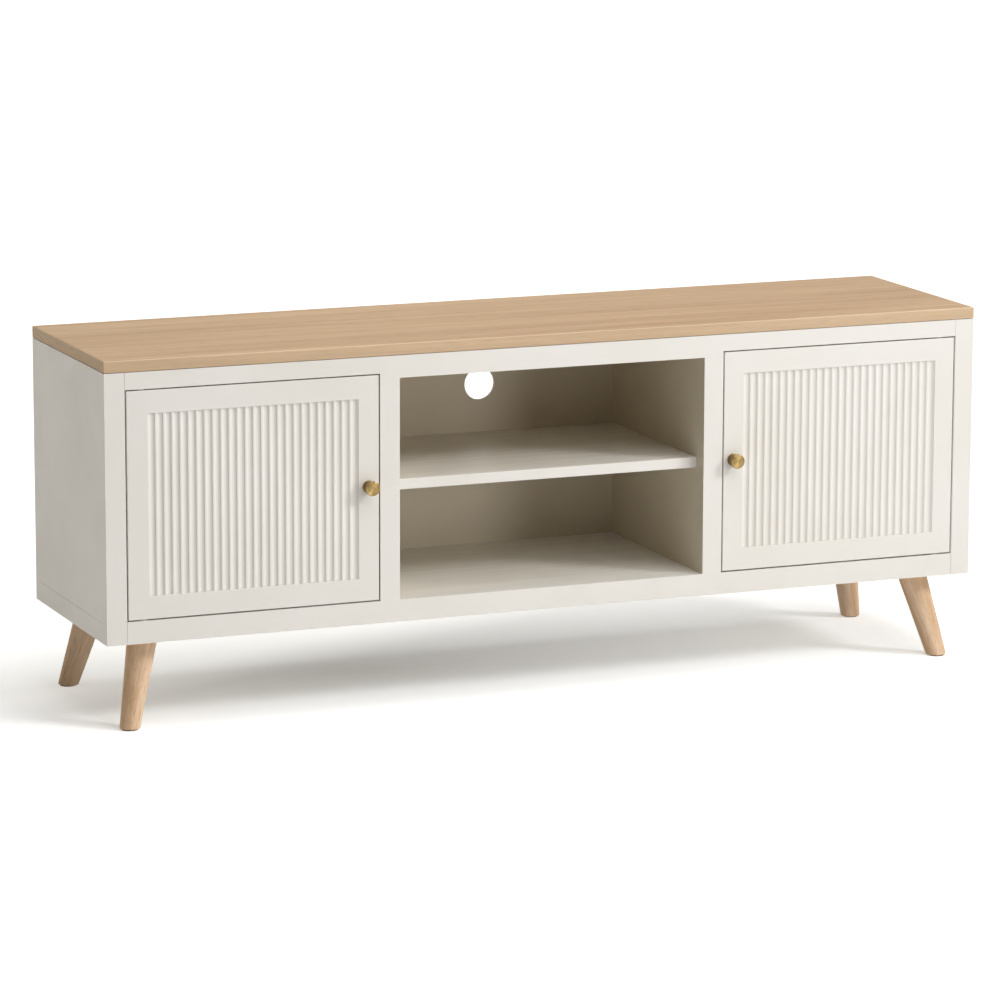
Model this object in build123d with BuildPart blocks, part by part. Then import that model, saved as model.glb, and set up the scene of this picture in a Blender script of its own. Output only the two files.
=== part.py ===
"""Media cabinet: two fluted doors either side of an open bay, on four splayed legs.

Millimetres, +Z up. The front faces -Y and X runs along the cabinet. The origin is on the floor,
below the middle of the whole outline, knobs included.
"""

import os
from math import hypot, radians, tan

from build123d import *

# Driving dimensions: the outside
WIDTH = 1400.0
DEPTH = 350.0
LEG_HEIGHT = 132.0
CARCASS_HEIGHT = 400.0
TOP_THICKNESS = 18.0
TOP_EDGE_ROUND = 2.0
TOP_REVEAL_HEIGHT = 1.0
TOP_REVEAL_DEPTH = 3.0

# Driving dimensions: front frame
STILE_WIDTH = 31.0
FACE_THICKNESS = 18.0
BAY_WIDTH = 492.0
BOTTOM_RAIL_HEIGHT = 33.5
DOOR_HEAD_HEIGHT = 25.5
BAY_HEAD_HEIGHT = 33.5
STILE_JOINT_CHAMFER = 1.0
DOWEL_DIAMETER = 8.0
DOWEL_DEPTH = 10.0

# Driving dimensions: carcass boards
SIDE_THICKNESS = 15.0
SIDE_RAIL_HEIGHT = 30.0
SIDE_JOINT_CHAMFER = 0.6
DIVIDER_THICKNESS = 15.0
FLOOR_THICKNESS = 15.0
CEILING_THICKNESS = 15.0
REAR_RAIL_THICKNESS = 15.0
BACK_THICKNESS = 5.0
BACK_REBATE = 7.0
BACK_SETBACK = 2.5
CABLE_HOLE_DIAMETER = 50.0
CABLE_HOLE_OFFSET = 19.0
CABLE_HOLE_LEVEL = 252.5

# Driving dimensions: shelves and their pins
BAY_SHELF_THICKNESS = 16.0
BAY_SHELF_LEVEL = 176.5
BAY_SHELF_SETBACK = 25.0
CUPBOARD_SHELF_THICKNESS = 15.0
CUPBOARD_SHELF_LEVEL = 170.0
CUPBOARD_SHELF_SETBACK = 60.0
SHELF_PLAY = 0.5
SHELF_PIN_DIAMETER = 5.0
SHELF_PIN_DEPTH = 6.5
SHELF_PIN_REACH = 9.0
SHELF_PIN_INSET = 45.0

# Driving dimensions: doors
DOOR_GAP = 2.0
DOOR_THICKNESS = 18.0
DOOR_STILE_WIDTH = 32.0
DOOR_RAIL_WIDTH = 34.0
DOOR_LIP = 9.0
DOOR_REBATE = 9.0
DOOR_EDGE_ROUND = 1.0
WINDOW_EDGE_ROUND = 0.6
FLUTE_COUNT = 26
FLUTE_DEPTH = 2.2
FLUTE_LAND = 2.2
LAND_RECESS = 1.0
PANEL_TONGUE = 5.0
PANEL_PLAY = 0.3
FIELD_PLAY = 0.1

# Driving dimensions: knobs
KNOB_RISE = 3.0
KNOB_FOOT_DIAMETER = 19.0
KNOB_FOOT_HEIGHT = 2.5
KNOB_NECK_DIAMETER = 16.5
KNOB_HEAD_DIAMETER = 22.0
KNOB_RIM_HEIGHT = 4.0
KNOB_REACH = 18.5
KNOB_EDGE_ROUND = 1.0
KNOB_SCREW_DIAMETER = 4.0
KNOB_SCREW_GRIP = 10.0
KNOB_SCREW_HEAD_DIAMETER = 8.0
KNOB_SCREW_HEAD_HEIGHT = 2.4

# Driving dimensions: door pivots and catches
PIVOT_INSET = 24.0
PIVOT_PIN_DIAMETER = 5.0
PIVOT_PIN_DEPTH = 20.0
PIVOT_PIN_REACH = 9.0
PIVOT_COLLAR_DIAMETER = 12.0
BUSH_DIAMETER = 9.0
BUSH_LENGTH = 12.0
BUSH_FLANGE_DIAMETER = 14.0
BUSH_FLANGE_HEIGHT = 1.0
PIVOT_CLEARANCE = 0.05
PIVOT_PLAY = 0.3
CATCH_INSET = 45.0
CATCH_EAR_WIDTH = 46.0
CATCH_EAR_THICKNESS = 2.5
CATCH_BODY_WIDTH = 26.0
CATCH_DEPTH = 14.0
CATCH_SCREW_DIAMETER = 3.5
CATCH_GAP = 0.4
STRIKE_WIDTH = 38.0
STRIKE_HEIGHT = 12.0
STRIKE_THICKNESS = 1.5
STRIKE_DROP = 13.0
STRIKE_CORNER_ROUND = 2.0

# Driving dimensions: legs and their fixings
LEG_TOP_DIAMETER = 45.0
LEG_FOOT_DIAMETER = 30.0
LEG_FOOT_ROUND = 2.0
LEG_SPLAY_ANGLE = 13.5
FOOT_INSET_X = 40.0
FOOT_INSET_Y = 24.0
GLIDE_DIAMETER = 24.0
GLIDE_THICKNESS = 1.5
BLOCK_WIDTH = 100.0
BLOCK_DEPTH = 90.0
LEG_BOLT_DIAMETER = 8.0
LEG_BOLT_GRIP = 35.0
INSERT_DIAMETER = 12.0
INSERT_LENGTH = 13.0
FASTENER_FIT = 0.05
DRILL_POINT = 0.5

# Levels from the floor up
CARCASS_BOTTOM = LEG_HEIGHT
FLOOR_TOP = CARCASS_BOTTOM + BOTTOM_RAIL_HEIGHT
FLOOR_BOTTOM = FLOOR_TOP - FLOOR_THICKNESS
CARCASS_TOP = CARCASS_BOTTOM + CARCASS_HEIGHT
CEILING_BOTTOM = CARCASS_TOP - CEILING_THICKNESS
DOOR_HEAD_BOTTOM = CARCASS_TOP - DOOR_HEAD_HEIGHT
BAY_HEAD_BOTTOM = CARCASS_TOP - BAY_HEAD_HEIGHT
SIDE_RAIL_TOP = CARCASS_BOTTOM + SIDE_RAIL_HEIGHT

# Front to back; the knobs stand out of the front, and the outline is centred with them
FRONT = (KNOB_REACH - DEPTH) / 2
REAR = FRONT + DEPTH
FACE_REAR = FRONT + FACE_THICKNESS
FACE_MIDDLE = FRONT + FACE_THICKNESS / 2
BACK_REAR = REAR - BACK_SETBACK
BACK_FRONT = BACK_REAR - BACK_THICKNESS

# Half widths from the middle outwards; the cabinet is the same on both hands
HALF_WIDTH = WIDTH / 2
SIDE_INNER = HALF_WIDTH - SIDE_THICKNESS
STILE_INNER = HALF_WIDTH - STILE_WIDTH
BAY_HALF = BAY_WIDTH / 2
DIVIDER_OUTER = BAY_HALF + DIVIDER_THICKNESS
DIVIDER_STILE_OUTER = BAY_HALF + STILE_WIDTH
DIVIDER_STILE_MIDDLE = BAY_HALF + STILE_WIDTH / 2
BACK_HALF = SIDE_INNER + BACK_REBATE

# Doors
DOOR_WIDTH = STILE_INNER - DIVIDER_STILE_OUTER - 2 * DOOR_GAP
DOOR_BOTTOM = FLOOR_TOP + DOOR_GAP
DOOR_TOP = DOOR_HEAD_BOTTOM - DOOR_GAP
DOOR_HEIGHT = DOOR_TOP - DOOR_BOTTOM
DOOR_CENTRE_X = (STILE_INNER + DIVIDER_STILE_OUTER) / 2
DOOR_CENTRE_Z = (DOOR_BOTTOM + DOOR_TOP) / 2
DOOR_REAR = FRONT + DOOR_THICKNESS
WINDOW_WIDTH = DOOR_WIDTH - 2 * DOOR_STILE_WIDTH
WINDOW_HEIGHT = DOOR_HEIGHT - 2 * DOOR_RAIL_WIDTH
PANEL_WIDTH = WINDOW_WIDTH + 2 * (DOOR_REBATE - PANEL_PLAY)
PANEL_HEIGHT = WINDOW_HEIGHT + 2 * (DOOR_REBATE - PANEL_PLAY)
KNOB_X = DIVIDER_STILE_OUTER + DOOR_GAP + DOOR_STILE_WIDTH / 2
KNOB_Z = DOOR_CENTRE_Z + KNOB_RISE
PIVOT_X = STILE_INNER - DOOR_GAP - PIVOT_INSET
PIVOT_Y = FRONT + DOOR_THICKNESS / 2
PIVOT_COLLAR_HEIGHT = DOOR_GAP - BUSH_FLANGE_HEIGHT - PIVOT_PLAY
CATCH_X = DIVIDER_STILE_OUTER + DOOR_GAP + CATCH_INSET
STRIKE_Z = DOOR_TOP - STRIKE_DROP
CATCH_MIDDLE = DOOR_REAR + STRIKE_THICKNESS + CATCH_GAP + CATCH_DEPTH / 2

# Legs: each axis leans out to the end and to the front or back by the same angle
LEG_SLOPE = tan(radians(LEG_SPLAY_ANGLE))
LEG_LEAN = hypot(LEG_SLOPE, LEG_SLOPE)
LEG_TOP_INSET_X = FOOT_INSET_X + LEG_SLOPE * LEG_HEIGHT
LEG_TOP_INSET_Y = FOOT_INSET_Y + LEG_SLOPE * LEG_HEIGHT

HANDS = (("left", -1), ("right", 1))
ENDS = (("front", -1), ("rear", 1))

os.makedirs("parts", exist_ok=True)


def save(piece, name):
    """Label a finished piece and write it to its own file."""
    piece.label = name
    export_step(piece, f"parts/{name}.step")


def board(x_limits, y_limits, z_limits):
    """Add a square-edged board between two limits each way; X limits may run either way."""
    with BuildSketch(Plane.XY.offset(z_limits[0])) as outline:
        with Locations((sum(x_limits) / 2, sum(y_limits) / 2)):
            Rectangle(abs(x_limits[1] - x_limits[0]), y_limits[1] - y_limits[0])
    extrude(outline.sketch, amount=z_limits[1] - z_limits[0])


def drill(point, outward, diameter, depth):
    """Drill a hole into the piece at a point on its face, square to that face."""
    with Locations(Plane(origin=point, z_dir=outward)):
        Hole(diameter / 2 + FASTENER_FIT, depth)


def drill_for_dowel(point, outward):
    drill(point, outward, DOWEL_DIAMETER, DOWEL_DEPTH + DRILL_POINT)


def drill_for_shelf_pin(point, outward):
    drill(point, outward, SHELF_PIN_DIAMETER, SHELF_PIN_DEPTH + DRILL_POINT)


# Joints of the front frame: each function gives the middle of one joint face, where its dowel sits
DOOR_HEAD_MIDDLE = (DOOR_HEAD_BOTTOM + CARCASS_TOP) / 2
BAY_HEAD_MIDDLE = (BAY_HEAD_BOTTOM + CARCASS_TOP) / 2
BOTTOM_RAIL_MIDDLE = (CARCASS_BOTTOM + FLOOR_TOP) / 2


def door_head_to_end_stile(side):
    return (side * STILE_INNER, FACE_MIDDLE, DOOR_HEAD_MIDDLE)


def bottom_rail_to_end_stile(side):
    return (side * STILE_INNER, FACE_MIDDLE, BOTTOM_RAIL_MIDDLE)


def door_head_to_divider_stile(side):
    return (side * DIVIDER_STILE_OUTER, FACE_MIDDLE, DOOR_HEAD_MIDDLE)


def bay_head_to_divider_stile(side):
    return (side * BAY_HALF, FACE_MIDDLE, BAY_HEAD_MIDDLE)


def divider_stile_to_bottom_rail(side):
    return (side * DIVIDER_STILE_MIDDLE, FACE_MIDDLE, FLOOR_TOP)


# Shelf pins: a pair on each wall of the bay and of the cupboards, under each shelf
BAY_SHELF_TOP = FLOOR_TOP + BAY_SHELF_LEVEL
BAY_SHELF_BOTTOM = BAY_SHELF_TOP - BAY_SHELF_THICKNESS
BAY_SHELF_FRONT = FRONT + BAY_SHELF_SETBACK
CUPBOARD_SHELF_TOP = FLOOR_TOP + CUPBOARD_SHELF_LEVEL
CUPBOARD_SHELF_BOTTOM = CUPBOARD_SHELF_TOP - CUPBOARD_SHELF_THICKNESS
CUPBOARD_SHELF_FRONT = FRONT + CUPBOARD_SHELF_SETBACK
SHELF_REAR = BACK_FRONT - SHELF_PLAY
BAY_PIN_Z = BAY_SHELF_BOTTOM - SHELF_PIN_DIAMETER / 2
CUPBOARD_PIN_Z = CUPBOARD_SHELF_BOTTOM - SHELF_PIN_DIAMETER / 2
BAY_PIN_YS = (BAY_SHELF_FRONT + SHELF_PIN_INSET, SHELF_REAR - SHELF_PIN_INSET)
CUPBOARD_PIN_YS = (CUPBOARD_SHELF_FRONT + SHELF_PIN_INSET, SHELF_REAR - SHELF_PIN_INSET)


def bay_wall_pins(side):
    """Seats of the bay's pins on one divider, with the way out of that wall."""
    return [((side * BAY_HALF, y, BAY_PIN_Z), (-side, 0, 0)) for y in BAY_PIN_YS]


def cupboard_divider_pins(side):
    """Seats of a cupboard's pins on its divider, with the way out of that wall."""
    return [((side * DIVIDER_OUTER, y, CUPBOARD_PIN_Z), (side, 0, 0)) for y in CUPBOARD_PIN_YS]


def cupboard_side_pins(side):
    """Seats of a cupboard's pins on its side panel, with the way out of that wall."""
    return [((side * SIDE_INNER, y, CUPBOARD_PIN_Z), (-side, 0, 0)) for y in CUPBOARD_PIN_YS]


# Top board: rounded over above, and rebated all round below so that a fine shadow line shows
with BuildPart() as top_board:
    reveal_top = CARCASS_TOP + TOP_REVEAL_HEIGHT
    board((-HALF_WIDTH, HALF_WIDTH), (FRONT, REAR), (reveal_top, CARCASS_TOP + TOP_THICKNESS))
    fillet(top_board.faces().sort_by(Axis.Z)[-1].edges(), TOP_EDGE_ROUND)
    board(
        (TOP_REVEAL_DEPTH - HALF_WIDTH, HALF_WIDTH - TOP_REVEAL_DEPTH),
        (FRONT + TOP_REVEAL_DEPTH, REAR - TOP_REVEAL_DEPTH),
        (CARCASS_TOP, reveal_top),
    )
save(top_board.part, "top_board")

# End stiles run the whole height; a fine chamfer marks the joint with the rails
for hand, side in HANDS:
    with BuildPart() as end_stile:
        board((side * HALF_WIDTH, side * STILE_INNER), (FRONT, FACE_REAR), (CARCASS_BOTTOM, CARCASS_TOP))
        inner_face = end_stile.faces().filter_by(Axis.X).sort_by(Axis.X)[0 if side > 0 else -1]
        chamfer(inner_face.edges().filter_by(Axis.Z).sort_by(Axis.Y)[0], STILE_JOINT_CHAMFER)
        drill_for_dowel(door_head_to_end_stile(side), (-side, 0, 0))
        drill_for_dowel(bottom_rail_to_end_stile(side), (-side, 0, 0))
    save(end_stile.part, f"{hand}_end_stile")

# Divider stiles stand on the bottom rail, between the rails over the doors and over the bay
for hand, side in HANDS:
    with BuildPart() as divider_stile:
        board((side * BAY_HALF, side * DIVIDER_STILE_OUTER), (FRONT, FACE_REAR), (FLOOR_TOP, CARCASS_TOP))
        drill_for_dowel(door_head_to_divider_stile(side), (side, 0, 0))
        drill_for_dowel(bay_head_to_divider_stile(side), (-side, 0, 0))
        drill_for_dowel(divider_stile_to_bottom_rail(side), (0, 0, -1))
    save(divider_stile.part, f"{hand}_divider_stile")

# Rails over the doors, each with the seat of the upper pivot bush
for hand, side in HANDS:
    with BuildPart() as door_head:
        board(
            (side * DIVIDER_STILE_OUTER, side * STILE_INNER),
            (FRONT, FACE_REAR),
            (DOOR_HEAD_BOTTOM, CARCASS_TOP),
        )
        drill_for_dowel(door_head_to_end_stile(side), (side, 0, 0))
        drill_for_dowel(door_head_to_divider_stile(side), (-side, 0, 0))
        drill((side * PIVOT_X, PIVOT_Y, DOOR_HEAD_BOTTOM), (0, 0, -1), BUSH_DIAMETER, BUSH_LENGTH)
    save(door_head.part, f"{hand}_top_rail")

# Deeper rail over the bay
with BuildPart() as bay_head:
    board((-BAY_HALF, BAY_HALF), (FRONT, FACE_REAR), (BAY_HEAD_BOTTOM, CARCASS_TOP))
    for hand, side in HANDS:
        drill_for_dowel(bay_head_to_divider_stile(side), (side, 0, 0))
save(bay_head.part, "bay_top_rail")

# Bottom rail between the end stiles, with the seats of the lower pivot bushes
with BuildPart() as bottom_rail:
    board((-STILE_INNER, STILE_INNER), (FRONT, FACE_REAR), (CARCASS_BOTTOM, FLOOR_TOP))
    for hand, side in HANDS:
        drill_for_dowel(bottom_rail_to_end_stile(side), (side, 0, 0))
        drill_for_dowel(divider_stile_to_bottom_rail(side), (0, 0, 1))
        drill((side * PIVOT_X, PIVOT_Y, FLOOR_TOP), (0, 0, 1), BUSH_DIAMETER, BUSH_LENGTH)
save(bottom_rail.part, "bottom_rail")

# Dowels of the front frame
with BuildPart() as frame_dowels:
    for hand, side in HANDS:
        for point, along in (
            (door_head_to_end_stile(side), (1, 0, 0)),
            (bottom_rail_to_end_stile(side), (1, 0, 0)),
            (door_head_to_divider_stile(side), (1, 0, 0)),
            (bay_head_to_divider_stile(side), (1, 0, 0)),
            (divider_stile_to_bottom_rail(side), (0, 0, 1)),
        ):
            with Locations(Plane(origin=point, z_dir=along)):
                Cylinder(DOWEL_DIAMETER / 2, 2 * DOWEL_DEPTH)
save(frame_dowels.part, "frame_dowels")

# Side panels, rebated at the back, each on its own base rail
for hand, side in HANDS:
    with BuildPart() as side_panel:
        board((side * SIDE_INNER, side * HALF_WIDTH), (FACE_REAR, REAR), (SIDE_RAIL_TOP, CARCASS_TOP))
        with BuildSketch(Plane.XY.offset(FLOOR_TOP)):
            with Locations((side * (SIDE_INNER + BACK_HALF) / 2, (BACK_FRONT + REAR) / 2)):
                Rectangle(BACK_REBATE, REAR - BACK_FRONT)
        extrude(amount=CARCASS_TOP - FLOOR_TOP, mode=Mode.SUBTRACT)
        lower_edges = side_panel.edges().filter_by(Axis.Y).group_by(Axis.Z)[0].sort_by(Axis.X)
        chamfer(lower_edges[-1 if side > 0 else 0], SIDE_JOINT_CHAMFER)
        for point, outward in cupboard_side_pins(side):
            drill_for_shelf_pin(point, outward)
    save(side_panel.part, f"{hand}_side_panel")

    with BuildPart() as side_rail:
        board((side * SIDE_INNER, side * HALF_WIDTH), (FACE_REAR, REAR), (CARCASS_BOTTOM, SIDE_RAIL_TOP))
    save(side_rail.part, f"{hand}_base_rail")

# Rear base rail, level with the floor
with BuildPart() as rear_rail:
    board((-SIDE_INNER, SIDE_INNER), (REAR - REAR_RAIL_THICKNESS, REAR), (CARCASS_BOTTOM, FLOOR_TOP))
save(rear_rail.part, "rear_base_rail")

# Floor and ceiling, between the side panels
with BuildPart() as floor_panel:
    board((-SIDE_INNER, SIDE_INNER), (FACE_REAR, REAR - REAR_RAIL_THICKNESS), (FLOOR_BOTTOM, FLOOR_TOP))
save(floor_panel.part, "floor_panel")

with BuildPart() as ceiling_panel:
    board((-SIDE_INNER, SIDE_INNER), (FACE_REAR, BACK_FRONT), (CEILING_BOTTOM, CARCASS_TOP))
save(ceiling_panel.part, "ceiling_panel")

# Dividers, flush with the bay's side of their stiles
for hand, side in HANDS:
    with BuildPart() as divider_panel:
        board((side * BAY_HALF, side * DIVIDER_OUTER), (FACE_REAR, BACK_FRONT), (FLOOR_TOP, CEILING_BOTTOM))
        for point, outward in bay_wall_pins(side) + cupboard_divider_pins(side):
            drill_for_shelf_pin(point, outward)
    save(divider_panel.part, f"{hand}_divider_panel")

# Back panel with its cable hole
BACK_PLANE = Plane(origin=(0, BACK_REAR, FLOOR_TOP), x_dir=(-1, 0, 0), z_dir=(0, 1, 0))
with BuildPart() as back_panel:
    with BuildSketch(BACK_PLANE):
        with Locations((0, (CARCASS_TOP - FLOOR_TOP) / 2)):
            Rectangle(2 * (BACK_HALF - PANEL_PLAY), CARCASS_TOP - FLOOR_TOP)
        with Locations((-CABLE_HOLE_OFFSET, CABLE_HOLE_LEVEL)):
            Circle(CABLE_HOLE_DIAMETER / 2, mode=Mode.SUBTRACT)
    extrude(amount=-BACK_THICKNESS)
save(back_panel.part, "back_panel")

# Shelves: one across the bay and a loose one in each cupboard
with BuildPart() as bay_shelf:
    board(
        (-BAY_HALF + SHELF_PLAY, BAY_HALF - SHELF_PLAY),
        (BAY_SHELF_FRONT, SHELF_REAR),
        (BAY_SHELF_BOTTOM, BAY_SHELF_TOP),
    )
    front_edges = bay_shelf.faces().sort_by(Axis.Y)[0].edges().filter_by(Axis.X)
    fillet(front_edges, DOOR_EDGE_ROUND)
save(bay_shelf.part, "bay_shelf")

for hand, side in HANDS:
    with BuildPart() as cupboard_shelf:
        board(
            (side * (DIVIDER_OUTER + SHELF_PLAY), side * (SIDE_INNER - SHELF_PLAY)),
            (CUPBOARD_SHELF_FRONT, SHELF_REAR),
            (CUPBOARD_SHELF_BOTTOM, CUPBOARD_SHELF_TOP),
        )
    save(cupboard_shelf.part, f"{hand}_cupboard_shelf")

with BuildPart() as shelf_pins:
    pin_shift = (SHELF_PIN_REACH - SHELF_PIN_DEPTH) / 2
    for hand, side in HANDS:
        for point, outward in bay_wall_pins(side) + cupboard_divider_pins(side) + cupboard_side_pins(side):
            with Locations(Plane(origin=point, z_dir=outward).offset(pin_shift)):
                Cylinder(SHELF_PIN_DIAMETER / 2, SHELF_PIN_REACH + SHELF_PIN_DEPTH)
save(shelf_pins.part, "shelf_pins")

# Doors: a frame with a rebate behind its window, and the fluted panel that fills it
for hand, side in HANDS:
    door_plane = Plane(
        origin=(side * DOOR_CENTRE_X, FRONT, DOOR_CENTRE_Z), x_dir=(1, 0, 0), z_dir=(0, -1, 0)
    )

    with BuildPart() as door_frame:
        with BuildSketch(door_plane):
            Rectangle(DOOR_WIDTH, DOOR_HEIGHT)
            Rectangle(WINDOW_WIDTH, WINDOW_HEIGHT, mode=Mode.SUBTRACT)
        extrude(amount=-DOOR_THICKNESS)
        with BuildSketch(door_plane.offset(-DOOR_LIP)):
            Rectangle(WINDOW_WIDTH + 2 * DOOR_REBATE, WINDOW_HEIGHT + 2 * DOOR_REBATE)
        extrude(amount=DOOR_LIP - DOOR_THICKNESS, mode=Mode.SUBTRACT)
        front_face = door_frame.faces().sort_by(Axis.Y)[0]
        window_edges = front_face.inner_wires()[0].edges()
        fillet(front_face.outer_wire().edges(), DOOR_EDGE_ROUND)
        fillet(window_edges, WINDOW_EDGE_ROUND)
        for z, outward in ((DOOR_TOP, 1), (DOOR_BOTTOM, -1)):
            drill((side * PIVOT_X, PIVOT_Y, z), (0, 0, outward), PIVOT_PIN_DIAMETER, PIVOT_PIN_DEPTH)
        drill((side * KNOB_X, FRONT, KNOB_Z), (0, -1, 0), KNOB_SCREW_DIAMETER, DOOR_THICKNESS)
    save(door_frame.part, f"{hand}_door_frame")

    field_left = side * DOOR_CENTRE_X - WINDOW_WIDTH / 2 + FIELD_PLAY
    field_right = side * DOOR_CENTRE_X + WINDOW_WIDTH / 2 - FIELD_PLAY
    flute_pitch = (field_right - field_left) / FLUTE_COUNT
    flute_half = (flute_pitch - FLUTE_LAND) / 2
    land_y = FRONT + LAND_RECESS
    field_rear = FRONT + DOOR_LIP
    flute_middles = [field_left + (count + 0.5) * flute_pitch for count in range(FLUTE_COUNT)]
    flute_edges = [(middle - flute_half, middle + flute_half) for middle in flute_middles]
    with BuildPart() as fluted_panel:
        with BuildSketch(Plane.XY.offset(DOOR_CENTRE_Z - WINDOW_HEIGHT / 2 + FIELD_PLAY)):
            with BuildLine():
                for start, end in flute_edges:
                    SagittaArc((start, land_y), (end, land_y), FLUTE_DEPTH)
                for (_, end), (start, _) in zip(flute_edges, flute_edges[1:]):
                    Line((end, land_y), (start, land_y))
                Polyline(
                    (flute_edges[-1][1], land_y),
                    (field_right, land_y),
                    (field_right, field_rear),
                    (field_left, field_rear),
                    (field_left, land_y),
                    (flute_edges[0][0], land_y),
                )
            make_face()
        extrude(amount=WINDOW_HEIGHT - 2 * FIELD_PLAY)
        with BuildSketch(door_plane.offset(-DOOR_LIP)):
            Rectangle(PANEL_WIDTH, PANEL_HEIGHT)
        extrude(amount=-PANEL_TONGUE)
    save(fluted_panel.part, f"{hand}_fluted_panel")

# Knobs: a turned foot, a slightly waisted neck and a flat-faced head
for hand, side in HANDS:
    knob_seat = (side * KNOB_X, FRONT, KNOB_Z)
    neck = KNOB_NECK_DIAMETER / 2
    foot = KNOB_FOOT_DIAMETER / 2
    head = KNOB_HEAD_DIAMETER / 2
    rim_back = KNOB_REACH - KNOB_RIM_HEIGHT
    with BuildPart() as knob:
        with BuildSketch(Plane(origin=knob_seat, x_dir=(1, 0, 0), z_dir=(0, 0, -1))):
            with BuildLine():
                Polyline(
                    (0, KNOB_REACH),
                    (0, 0),
                    (foot, 0),
                    (foot, KNOB_FOOT_HEIGHT),
                    (neck, KNOB_FOOT_HEIGHT),
                )
                Spline(
                    (neck, KNOB_FOOT_HEIGHT),
                    (head, rim_back),
                    tangents=((0, 1), (head - neck, (rim_back - KNOB_FOOT_HEIGHT) / 2)),
                )
                Polyline((head, rim_back), (head, KNOB_REACH), (0, KNOB_REACH))
            make_face()
        revolve(axis=Axis(origin=knob_seat, direction=(0, -1, 0)))
        rim_edges = knob.edges().filter_by(GeomType.CIRCLE).group_by(Axis.Y)[0]
        fillet(rim_edges, KNOB_EDGE_ROUND)
        drill(knob_seat, (0, 1, 0), KNOB_SCREW_DIAMETER, KNOB_SCREW_GRIP + DRILL_POINT)
    save(knob.part, f"{hand}_knob")

    screw_plane = Plane(origin=(side * KNOB_X, DOOR_REAR, KNOB_Z), z_dir=(0, 1, 0))
    with BuildPart() as knob_screw:
        with BuildSketch(screw_plane):
            Circle(KNOB_SCREW_HEAD_DIAMETER / 2)
        extrude(amount=KNOB_SCREW_HEAD_HEIGHT)
        with BuildSketch(screw_plane):
            Circle(KNOB_SCREW_DIAMETER / 2)
        extrude(amount=-(DOOR_THICKNESS + KNOB_SCREW_GRIP))
    save(knob_screw.part, f"{hand}_knob_screw")

# Pivots: a collared pin in each end of the door's hinge stile, and a flanged bush in the rail
for hand, side in HANDS:
    for level, door_edge, rail_face, outward in (
        ("upper", DOOR_TOP, DOOR_HEAD_BOTTOM, 1),
        ("lower", DOOR_BOTTOM, FLOOR_TOP, -1),
    ):
        pin_plane = Plane(origin=(side * PIVOT_X, PIVOT_Y, door_edge), z_dir=(0, 0, outward))
        bush_plane = Plane(origin=(side * PIVOT_X, PIVOT_Y, rail_face), z_dir=(0, 0, outward))
        with BuildPart() as pivot_pin:
            with BuildSketch(pin_plane.offset(-PIVOT_PIN_DEPTH)):
                Circle(PIVOT_PIN_DIAMETER / 2)
            extrude(amount=PIVOT_PIN_DEPTH + DOOR_GAP + PIVOT_PIN_REACH)
            with BuildSketch(pin_plane):
                Circle(PIVOT_COLLAR_DIAMETER / 2)
            extrude(amount=PIVOT_COLLAR_HEIGHT)
        save(pivot_pin.part, f"{hand}_{level}_pivot_pin")

        with BuildPart() as pivot_bush:
            with BuildSketch(bush_plane):
                Circle(BUSH_DIAMETER / 2)
            extrude(amount=BUSH_LENGTH)
            with BuildSketch(bush_plane):
                Circle(BUSH_FLANGE_DIAMETER / 2)
            extrude(amount=-BUSH_FLANGE_HEIGHT)
            with Locations(bush_plane.offset(-BUSH_FLANGE_HEIGHT)):
                Hole(PIVOT_PIN_DIAMETER / 2 + PIVOT_CLEARANCE, BUSH_FLANGE_HEIGHT + BUSH_LENGTH)
        save(pivot_bush.part, f"{hand}_{level}_pivot_bush")

# Catches: a magnet housing screwed up to the ceiling by its ears, and a strike plate on the door
for hand, side in HANDS:
    ear_plane = Plane(origin=(side * CATCH_X, CATCH_MIDDLE, CEILING_BOTTOM), z_dir=(0, 0, -1))
    ear_screw_spacing = (CATCH_EAR_WIDTH + CATCH_BODY_WIDTH) / 2
    with BuildPart() as catch:
        with BuildSketch(ear_plane):
            SlotOverall(CATCH_EAR_WIDTH, CATCH_DEPTH)
            with GridLocations(ear_screw_spacing, 0, 2, 1):
                Circle(CATCH_SCREW_DIAMETER / 2, mode=Mode.SUBTRACT)
        extrude(amount=CATCH_EAR_THICKNESS)
        with BuildSketch(ear_plane):
            Rectangle(CATCH_BODY_WIDTH, CATCH_DEPTH)
        extrude(amount=CEILING_BOTTOM - STRIKE_Z + STRIKE_HEIGHT / 2)
        fillet(catch.faces().sort_by(Axis.Z)[0].edges(), DOOR_EDGE_ROUND)
    save(catch.part, f"{hand}_catch")

    strike_plane = Plane(origin=(side * CATCH_X, DOOR_REAR, STRIKE_Z), x_dir=(-1, 0, 0), z_dir=(0, 1, 0))
    with BuildPart() as strike:
        with BuildSketch(strike_plane):
            RectangleRounded(STRIKE_WIDTH, STRIKE_HEIGHT, STRIKE_CORNER_ROUND)
        extrude(amount=STRIKE_THICKNESS)
    save(strike.part, f"{hand}_strike_plate")


def leg_point(side, depth_side, inset_x, inset_y, z):
    """A point inside one corner of the cabinet's outline, at the given insets from it."""
    corner_y = FRONT if depth_side < 0 else REAR
    return Vector(side * (HALF_WIDTH - inset_x), corner_y - depth_side * inset_y, z)


def leg_foot(side, depth_side):
    return leg_point(side, depth_side, FOOT_INSET_X, FOOT_INSET_Y, 0)


def leg_top(side, depth_side):
    return leg_point(side, depth_side, LEG_TOP_INSET_X, LEG_TOP_INSET_Y, CARCASS_BOTTOM)


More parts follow.
